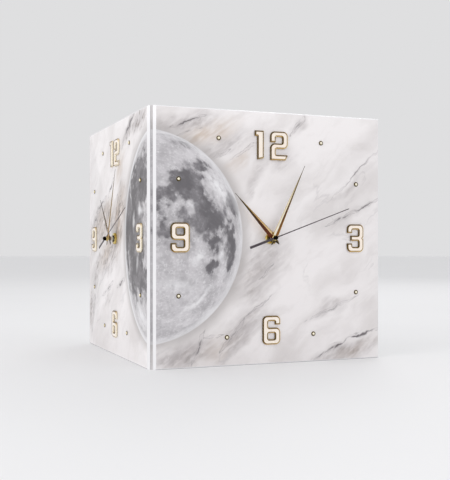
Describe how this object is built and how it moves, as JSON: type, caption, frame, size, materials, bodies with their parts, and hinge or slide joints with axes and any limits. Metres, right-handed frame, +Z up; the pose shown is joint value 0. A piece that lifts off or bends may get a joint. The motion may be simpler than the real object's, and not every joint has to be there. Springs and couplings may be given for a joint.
{
  "type": "double-sided corner wall clock",
  "caption": "Corner wall clock: two square printed faces at a right angle, each with numerals, hands and a geared quartz movement.",
  "frame": {"origin": "middle of the bounding box at its bottom, where the clock would stand", "axes": "+Z up; the front face looks along -Y and the side face along -X, and the corner edge between them is at the lowest X and Y"},
  "size_m": [0.3166, 0.3166, 0.3],
  "materials": {
    "printed_acrylic": "polished acrylic, printed",
    "white_board": "white faced fibreboard",
    "white_lacquer": "white lacquer",
    "zinc_steel": "zinc plated",
    "gold_mirror": "polished gold colour",
    "dark_hand": "satin",
    "brass": "turned",
    "rubber": "matte",
    "black_case": "moulded, fine texture",
    "ivory_gear": "moulded",
    "ferrite": "sintered",
    "copper_wire": "enamelled wire",
    "green_board": "solder mask",
    "battery_jacket": "printed sleeve"
  },
  "bodies": {
    "clock_body": {"corner_post": "white_lacquer", "hanger_plate_front": "zinc_steel", "numeral_12_one_front": "gold_mirror", "numeral_12_two_front": "gold_mirror", "numeral_3_front": "gold_mirror", "numeral_6_front": "gold_mirror", "numeral_9_front": "gold_mirror", "shaft_nut_front": "brass", "washer_front": "rubber", "movement_case_front": "black_case", "movement_cover_front": "black_case", "stator_coil_front": "copper_wire", "circuit_board_front": "green_board", "face_plate_front": "printed_acrylic", "backing_panel_front": "white_board", "frame_front": "white_lacquer", "back_panel_front": "white_board", "hanger_plate_side": "zinc_steel", "numeral_12_one_side": "gold_mirror", "numeral_12_two_side": "gold_mirror", "numeral_3_side": "gold_mirror", "numeral_6_side": "gold_mirror", "numeral_9_side": "gold_mirror", "shaft_nut_side": "brass", "washer_side": "rubber", "movement_case_side": "black_case", "movement_cover_side": "black_case", "stator_coil_side": "copper_wire", "circuit_board_side": "green_board", "face_plate_side": "printed_acrylic", "backing_panel_side": "white_board", "frame_side": "white_lacquer", "back_panel_side": "white_board"},
    "hour_front": {"hour_hand_front": "gold_mirror", "hour_wheel_front": "ivory_gear"},
    "minute_front": {"minute_hand_front": "gold_mirror", "cannon_pinion_front": "brass"},
    "second_front": {"second_hand_front": "dark_hand", "second_wheel_front": "ivory_gear"},
    "centre_front": {"centre_wheel_front": "ivory_gear"},
    "third_front": {"third_wheel_front": "ivory_gear"},
    "fifth_front": {"fifth_wheel_front": "ivory_gear"},
    "rotor_front": {"rotor_front": "ferrite"},
    "transfer_front": {"transfer_wheel_front": "ivory_gear"},
    "knob_front": {"set_knob_front": "ivory_gear"},
    "battery_body_front": {"battery_front": "battery_jacket"},
    "hour_side": {"hour_hand_side": "gold_mirror", "hour_wheel_side": "ivory_gear"},
    "minute_side": {"minute_hand_side": "gold_mirror", "cannon_pinion_side": "brass"},
    "second_side": {"second_hand_side": "dark_hand", "second_wheel_side": "ivory_gear"},
    "centre_side": {"centre_wheel_side": "ivory_gear"},
    "third_side": {"third_wheel_side": "ivory_gear"},
    "fifth_side": {"fifth_wheel_side": "ivory_gear"},
    "rotor_side": {"rotor_side": "ferrite"},
    "transfer_side": {"transfer_wheel_side": "ivory_gear"},
    "knob_side": {"set_knob_side": "ivory_gear"},
    "battery_body_side": {"battery_side": "battery_jacket"}
  },
  "joints": [
    {"name": "hour_turn_front", "type": "hinge", "parent": "clock_body", "child": "hour_front", "pos_m": [0.0093, -0.1417, 0.15], "axis": [0, 1, 0], "continuous": true},
    {"name": "minute_turn_front", "type": "hinge", "parent": "clock_body", "child": "minute_front", "pos_m": [0.0093, -0.1417, 0.15], "axis": [0, 1, 0], "continuous": true},
    {"name": "second_turn_front", "type": "hinge", "parent": "clock_body", "child": "second_front", "pos_m": [0.0093, -0.1417, 0.15], "axis": [0, 1, 0], "continuous": true},
    {"name": "centre_turn_front", "type": "hinge", "parent": "clock_body", "child": "centre_front", "pos_m": [0.0093, -0.1417, 0.15], "axis": [0, 1, 0], "continuous": true},
    {"name": "third_turn_front", "type": "hinge", "parent": "clock_body", "child": "third_front", "pos_m": [0.00093, -0.1417, 0.14695], "axis": [0, 1, 0], "continuous": true},
    {"name": "fifth_turn_front", "type": "hinge", "parent": "clock_body", "child": "fifth_front", "pos_m": [0.01381, -0.1417, 0.15782], "axis": [0, 1, 0], "continuous": true},
    {"name": "rotor_turn_front", "type": "hinge", "parent": "clock_body", "child": "rotor_front", "pos_m": [0.01963, -0.1417, 0.15906], "axis": [0, 1, 0], "continuous": true},
    {"name": "transfer_turn_front", "type": "hinge", "parent": "clock_body", "child": "transfer_front", "pos_m": [0.0129, -0.1417, 0.14377], "axis": [0, 1, 0], "continuous": true},
    {"name": "knob_turn_front", "type": "hinge", "parent": "clock_body", "child": "knob_front", "pos_m": [0.01967, -0.1417, 0.1413], "axis": [0, 1, 0], "continuous": true},
    {"name": "battery_slide_front", "type": "slide", "parent": "clock_body", "child": "battery_body_front", "axis": [0, 1, 0], "range_m": [0, 0.036]},
    {"name": "hour_turn_side", "type": "hinge", "parent": "clock_body", "child": "hour_side", "pos_m": [-0.1417, 0.0093, 0.15], "axis": [1, 0, 0], "continuous": true},
    {"name": "minute_turn_side", "type": "hinge", "parent": "clock_body", "child": "minute_side", "pos_m": [-0.1417, 0.0093, 0.15], "axis": [1, 0, 0], "continuous": true},
    {"name": "second_turn_side", "type": "hinge", "parent": "clock_body", "child": "second_side", "pos_m": [-0.1417, 0.0093, 0.15], "axis": [1, 0, 0], "continuous": true},
    {"name": "centre_turn_side", "type": "hinge", "parent": "clock_body", "child": "centre_side", "pos_m": [-0.1417, 0.0093, 0.15], "axis": [1, 0, 0], "continuous": true},
    {"name": "third_turn_side", "type": "hinge", "parent": "clock_body", "child": "third_side", "pos_m": [-0.1417, 0.01767, 0.14695], "axis": [1, 0, 0], "continuous": true},
    {"name": "fifth_turn_side", "type": "hinge", "parent": "clock_body", "child": "fifth_side", "pos_m": [-0.1417, 0.00479, 0.15782], "axis": [1, 0, 0], "continuous": true},
    {"name": "rotor_turn_side", "type": "hinge", "parent": "clock_body", "child": "rotor_side", "pos_m": [-0.1417, -0.00103, 0.15906], "axis": [1, 0, 0], "continuous": true},
    {"name": "transfer_turn_side", "type": "hinge", "parent": "clock_body", "child": "transfer_side", "pos_m": [-0.1417, 0.0057, 0.14377], "axis": [1, 0, 0], "continuous": true},
    {"name": "knob_turn_side", "type": "hinge", "parent": "clock_body", "child": "knob_side", "pos_m": [-0.1417, -0.00107, 0.1413], "axis": [1, 0, 0], "continuous": true},
    {"name": "battery_slide_side", "type": "slide", "parent": "clock_body", "child": "battery_body_side", "axis": [1, 0, 0], "range_m": [0, 0.036]}
  ],
  "couplings": [
    {"joint": "hour_turn_front", "follows": "minute_turn_front", "ratio": 0.083333},
    {"joint": "transfer_turn_front", "follows": "minute_turn_front", "ratio": -0.33333},
    {"joint": "knob_turn_front", "follows": "minute_turn_front", "ratio": 1},
    {"joint": "fifth_turn_front", "follows": "second_turn_front", "ratio": -6},
    {"joint": "rotor_turn_front", "follows": "second_turn_front", "ratio": 30},
    {"joint": "third_turn_front", "follows": "second_turn_front", "ratio": -0.13333},
    {"joint": "centre_turn_front", "follows": "second_turn_front", "ratio": 0.016667},
    {"joint": "hour_turn_side", "follows": "minute_turn_side", "ratio": 0.083333},
    {"joint": "transfer_turn_side", "follows": "minute_turn_side", "ratio": -0.33333},
    {"joint": "knob_turn_side", "follows": "minute_turn_side", "ratio": 1},
    {"joint": "fifth_turn_side", "follows": "second_turn_side", "ratio": -6},
    {"joint": "rotor_turn_side", "follows": "second_turn_side", "ratio": 30},
    {"joint": "third_turn_side", "follows": "second_turn_side", "ratio": -0.13333},
    {"joint": "centre_turn_side", "follows": "second_turn_side", "ratio": 0.016667}
  ]
}
